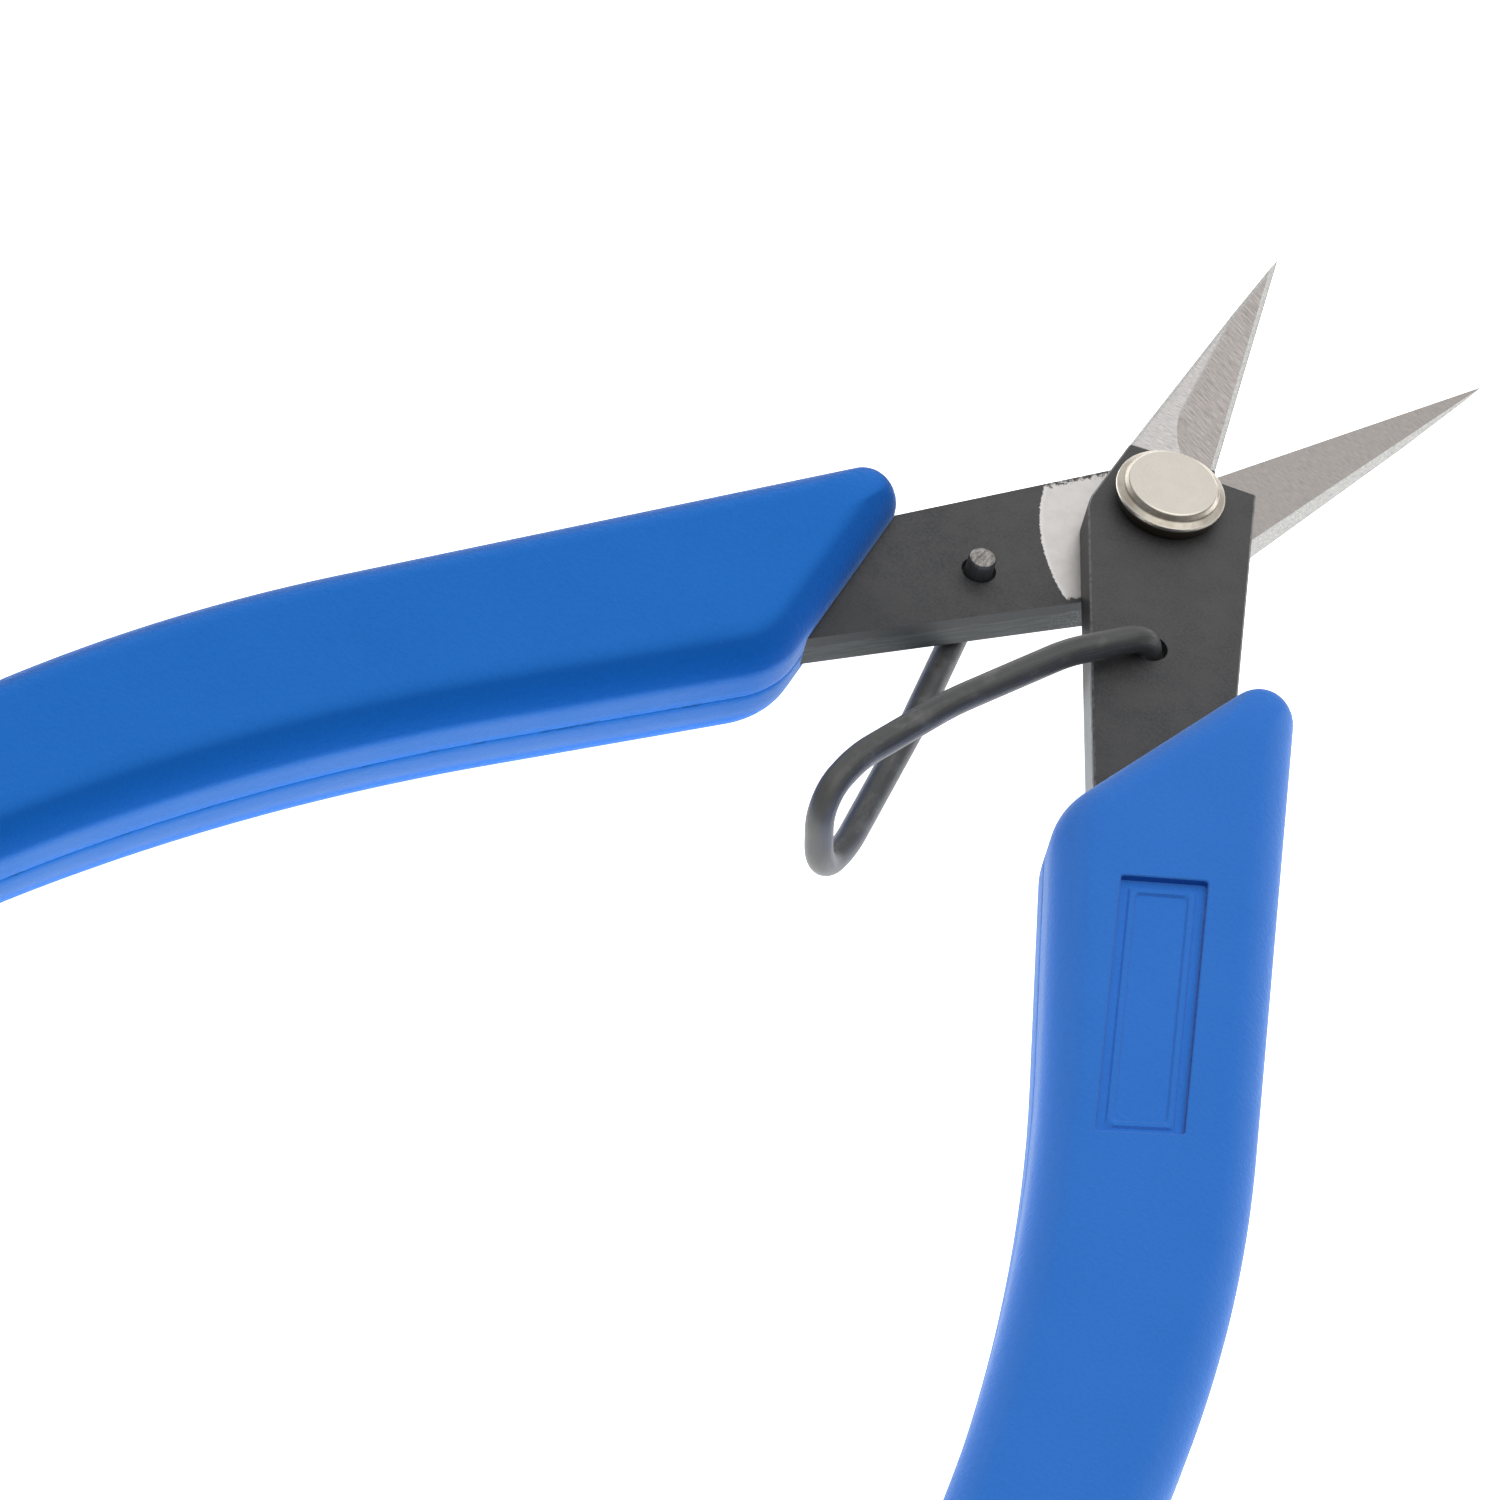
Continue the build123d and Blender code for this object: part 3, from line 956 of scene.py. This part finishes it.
def wire_look(length):
    """Drawn spring wire with a dark finish, drawing lines along it, rubbed spots and bare cut ends."""
    look = Look("spring_steel_dark")
    spot = look.node("ShaderNodeUVMap", {}, uv_map="along_wire").outputs[0]
    lines = look.stretched_noise(spot, *drawing_lines)
    patches = look.stretched_noise(spot, *rubbed_spots)
    grain = look.stretched_noise(spot, *wire_grain)
    colour = look.mix(lines, *drawn_marks)
    colour = look.mix(look.step(patches, 0.5, 0.75), colour, rubbed_wire)
    along_wire = look.node("ShaderNodeSeparateXYZ", {0: spot}).outputs[1]
    from_end = look.math("MINIMUM", along_wire, look.minus(length, along_wire))
    cut = look.step(from_end, *cut_end)
    place, x, y, z = look.place()
    worn = look.times(look.step(y, *worn_bend_y), look.span(patches, 0.4, 0.9))
    colour = look.mix(worn, colour, worn_bend)
    tears = look.stretched_noise(place, *end_tears)
    colour = look.mix(cut, colour, look.mix(look.step(tears, 0.35, 0.65), *cut_end_marks))
    look.set(base_color=colour, metallic=look.span(cut, 0.25, 0.9), roughness=look.span(grain, 0.34, 0.5))
    look.set(normal=look.bump(look.blend(cut, lines, tears), 0.03, 0.6))
    return look.material


# ---------------------------------------------------------------- grips

painted_wall_light_below = (0.30, 0.40, 0.54)
painted_wall_light_above = (0.13, 0.25, 0.50)
panel_wall_shade = (0.004, 0.085, 0.40)
rubber_speck = (0.20, 0.40, 0.78)
rubber_sheen = (0.75, 0.87, 1.0, 1.0)

rubber_grain_noise = (3.2, 4.0, 0.65)
pore_noise = (9.0, 2.0, 0.6)
rubber_cloud_noise = (0.16, 3.0, 0.55)
rubber_speck_noise = (2.6, 4.0, 0.7)
rubber_specks = (0.68, 0.76)
bruise_stretch = (0.5, 0.5, 1.0)
bruise_noise = (1.0, 3.0, 0.6)
bruises = (0.52, 0.66)

# Where each effect lies: by how level the surface is, by height from the seam, or by depth of panel
shoulder_shading_tilt = ((0.99, 0.85), (0.1, 0.32))
painted_wall_light_tilt = (0.3, 0.02)
painted_wall_light_below_seam = (0.4, 2.4)
panel_depths = (0.7, 0.6)
panel_wall_tilt = (0.66, 0.5)
seam_softness = 0.03


def rubber_look(name, shade, pale, painted_shoulder_shading, turned):
    """Moulded rubber: fine matt grain, faint cloudiness, pale specks and a bruised seam line, with painted
    shade on the shoulders, painted light on the walls and painted shade on the panel's walls.
    """
    look = Look(name)
    place, x, y, z = look.place(turned)
    side = -1 if turned else 1
    grain = look.noise(place, *rubber_grain_noise)
    pores = look.noise(place, *pore_noise)
    cloud = look.noise(place, *rubber_cloud_noise)
    specks = look.step(look.noise(place, *rubber_speck_noise), *rubber_specks)
    colour = look.mix(look.span(cloud, 0.0, 0.6), shade, pale)
    colour = look.mix(look.span(look.step(grain, *CONTRAST), 0.0, 0.4), colour, pale)

    # Painted shade on the upper shoulder, strong on the rear grip and faint on the front, and painted light
    # on the walls
    level = look.upright()
    shoulder = look.times(*[look.step(level, *pair) for pair in shoulder_shading_tilt])
    shoulder = look.times(shoulder, look.step(z, grip_mid_z, grip_mid_z + side))
    colour = look.mix(look.times(shoulder, 0.9 if turned else 0.5), colour, painted_shoulder_shading)
    # Painted light: the walls are paler, more so below the seam, patchy with the cloud noise.
    painted_wall_light = look.times(look.step(level, *painted_wall_light_tilt), look.span(cloud, 0.25, 0.55))
    below = look.step(z, *[grip_mid_z - drop * side for drop in painted_wall_light_below_seam])
    colour = look.mix(painted_wall_light, colour, look.mix(below, painted_wall_light_above, painted_wall_light_below))

    face_z = grip_mid_z + grip_half_thickness
    sunk = look.step(z, *[face_z - depth for depth in panel_depths])
    # Painted shade on the front panel's walls.
    panel_wall = look.times(look.step(level, *panel_wall_tilt), sunk)
    colour = look.mix(look.times(panel_wall, 0.0 if turned else 0.8), colour, panel_wall_shade)
    colour = look.mix(look.times(specks, 0.15), colour, rubber_speck)

    off_seam = look.math("ABSOLUTE", look.minus(z, grip_mid_z))
    bruise = look.step(look.stretched_noise(place, bruise_stretch, bruise_noise), *bruises)
    seam_edge = look.minus(off_seam, look.span(bruise, 0.06, 0.14))
    seam = look.step(seam_edge, seam_softness, -seam_softness)
    seam_shade = tuple(c * 0.45 for c in shade)
    colour = look.mix(look.times(seam, look.span(bruise, 0.15, 0.5)), colour, seam_shade)
    look.set(base_color=colour, roughness=look.span(grain, 0.6, 0.8), specular_ior_level=0.12)
    look.set(sheen_weight=0.5, sheen_roughness=0.3, sheen_tint=rubber_sheen)
    look.set(normal=look.bump(pores, 0.03, 0.8, look.bump(grain, 0.06, 0.9)))
    return look.material


# ---------------------------------------------------------------- stage

floor_size = 6000.0
studio_dim = (0.20, 0.195, 0.19, 1.0)
studio_bright = (0.95, 0.95, 0.96, 1.0)
bright_side = Vector((-sin(radians(24)) * 0.75, cos(radians(24)) * 0.75, 0.66)).normalized()
bright_side_spread = (0.3, 0.9)


def floor_look():
    """Pale and almost white, with the faintest unevenness."""
    look = Look("studio_floor")
    place, x, y, z = look.place()
    colour = look.mix(look.noise(place, 0.02, 2.0), (0.93, 0.93, 0.93), (0.95, 0.95, 0.95))
    look.set(base_color=colour, roughness=0.9, specular_ior_level=0.1)
    look.set(emission_color=(1.0, 1.0, 1.0, 1.0), emission_strength=1.3)
    return look.material


def dress(piece, material):
    """Gives a piece, or a CAD node, its material."""
    piece.data.materials.clear()
    piece.data.materials.append(material)


def make_floor():
    half = floor_size / 2
    corners = ((-half, -half), (half, -half), (half, half), (-half, half))
    points = [(x, y, floor_z / MM) for x, y in corners]
    floor = new_piece("floor", points, [(0, 1, 2, 3)], None)
    dress(floor, floor_look())


def make_camera():
    """Portrait lens from the handle side, high and to the right, rolled as the tool was laid."""
    azimuth, elevation, roll = radians(23.92), radians(45.53), radians(15.75)
    distance = 0.477
    target = Vector((-6.1, -37.8, front_face_z + 1.4)) * MM
    data = bpy.data.cameras.new("camera")
    data.sensor_width = 36.0
    data.lens = 192.0
    data.clip_start = 0.01
    camera = bpy.data.objects.new("camera", data)
    back = Vector((sin(azimuth) * cos(elevation), -cos(azimuth) * cos(elevation), sin(elevation)))
    camera.location = target + back * distance
    camera.rotation_mode = "QUATERNION"
    level = back.to_track_quat("Z", "Y")
    level.normalize()
    camera.rotation_quaternion = level @ Quaternion((0, 0, 1), roll)
    bpy.context.scene.collection.objects.link(camera)
    bpy.context.scene.camera = camera


def make_softbox(name, place, size, power):
    """A round area light that looks at the origin, which is the rivet's head."""
    data = bpy.data.lights.new(name, "AREA")
    data.shape = "DISK"
    data.size = size
    data.energy = power
    light = bpy.data.objects.new(name, data)
    light.location = place
    light.rotation_mode = "QUATERNION"
    light.rotation_quaternion = Vector(place).to_track_quat("Z", "Y")
    light.visible_camera = False
    bpy.context.scene.collection.objects.link(light)


def make_world():
    """A pale studio: bright on the far side from the camera, dim on the near side."""
    world = bpy.data.worlds.new("studio")
    world.use_nodes = True
    bpy.context.scene.world = world
    tree = world.node_tree
    tree.nodes.clear()
    new = tree.nodes.new
    spot = new("ShaderNodeTexCoord")
    facing = new("ShaderNodeVectorMath")
    facing.operation = "DOT_PRODUCT"
    facing.inputs[1].default_value = bright_side
    tree.links.new(spot.outputs["Generated"], facing.inputs[0])
    share = new("ShaderNodeMapRange")
    share.interpolation_type = "SMOOTHSTEP"
    share.inputs["From Min"].default_value = bright_side_spread[0]
    share.inputs["From Max"].default_value = bright_side_spread[1]
    tree.links.new(facing.outputs["Value"], share.inputs["Value"])
    colours = new("ShaderNodeMix")
    colours.data_type = "RGBA"
    colours.inputs[6].default_value = studio_dim
    colours.inputs[7].default_value = studio_bright
    tree.links.new(share.outputs["Result"], colours.inputs["Factor"])
    seen = new("ShaderNodeBackground")
    seen.inputs["Color"].default_value = (1.0, 1.0, 1.0, 1.0)
    lit = new("ShaderNodeBackground")
    tree.links.new(colours.outputs[2], lit.inputs["Color"])
    path = new("ShaderNodeLightPath")
    choice = new("ShaderNodeMixShader")
    tree.links.new(path.outputs["Is Camera Ray"], choice.inputs[0])
    tree.links.new(lit.outputs[0], choice.inputs[1])
    tree.links.new(seen.outputs[0], choice.inputs[2])
    output = new("ShaderNodeOutputWorld")
    tree.links.new(choice.outputs[0], output.inputs[0])


# ---------------------------------------------------------------- build

bpy.context.scene.view_settings.view_transform = "Standard"
make_camera()
make_world()
make_softbox("softbox_top", place=(0.15, 0.0, 0.8), size=0.95, power=2.2)
make_floor()

dress(nodes["front_blade"], steel_look("blade_steel_front", False))
dress(nodes["rear_blade"], steel_look("blade_steel_rear", True))
dress(make_rivet(), nickel_look())
dress(nodes["pivot_washer"], washer_look())
front_leg, rear_leg, wire_length = make_spring()
spring_steel = wire_look(wire_length)
dress(front_leg, spring_steel)
dress(rear_leg, spring_steel)
# The front grip's rubber is given lighter colours than the rear's: painted light on one and the same
# rubber.
dress(
    make_grip("front_grip", "front_half", turned=False, with_panel=True),
    rubber_look(
        "grip_rubber_front", shade=(0.028, 0.192, 0.70), pale=(0.046, 0.240, 0.81),
        painted_shoulder_shading=(0.06, 0.22, 0.70), turned=False))
dress(
    make_grip("rear_grip", "rear_half", turned=True, with_panel=False),
    rubber_look(
        "grip_rubber_rear", shade=(0.008, 0.170, 0.65), pale=(0.018, 0.210, 0.76),
        painted_shoulder_shading=(0.0, 0.115, 0.50), turned=True))
